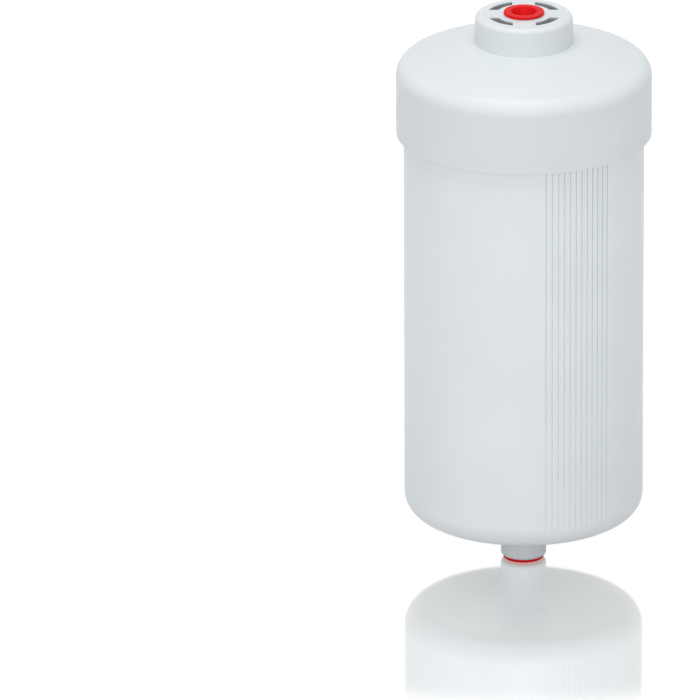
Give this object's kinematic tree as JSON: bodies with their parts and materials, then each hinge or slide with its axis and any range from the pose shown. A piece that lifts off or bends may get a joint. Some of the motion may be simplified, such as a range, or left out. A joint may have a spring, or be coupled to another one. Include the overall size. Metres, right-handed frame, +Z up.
{
  "type": "inline water filter cartridge",
  "caption": "White drip filter cartridge: grooved cup with an outlet neck, overlapping domed cap, vented boss with a threaded socket, and red push-in shipping plugs.",
  "frame": {"origin": "on the cartridge's axis, at the face of the outlet plug that it stands on", "axes": "+Z up along the cartridge's axis, from the outlet neck to the inlet boss; -Y is the front, with the panel of grooves just to its +X side; the four spokes of the boss lie along X and Y"},
  "size_m": [0.066, 0.066, 0.1504],
  "materials": {
    "white_polypropylene": "satin, fine moulded surface",
    "red_polyethylene": "semi-gloss",
    "seal_rubber": "matt",
    "natural_polypropylene": "satin",
    "felt": "needled felt",
    "foam": "open-cell foam",
    "alumina_granules": "matt granules"
  },
  "bodies": {
    "cartridge": {"canister_body": "white_polypropylene", "outlet_neck": "white_polypropylene", "top_cap": "white_polypropylene", "rim_seal": "seal_rubber", "outlet_strainer": "natural_polypropylene", "support_plate": "natural_polypropylene", "spreader_plate": "natural_polypropylene", "lower_screen": "natural_polypropylene", "upper_screen": "natural_polypropylene", "lower_felt_pad": "felt", "upper_felt_pad": "felt", "media_bed": "alumina_granules", "foam_ring": "foam"},
    "inlet_plug": {"inlet_plug": "red_polyethylene"},
    "outlet_plug": {"outlet_plug": "red_polyethylene"}
  },
  "joints": [
    {"name": "inlet_plug_pull", "type": "slide", "parent": "cartridge", "child": "inlet_plug", "axis": [0, 0, 1], "range_m": [0, 0.045]},
    {"name": "outlet_plug_pull", "type": "slide", "parent": "cartridge", "child": "outlet_plug", "axis": [0, 0, -1], "range_m": [0, 0.03]}
  ]
}
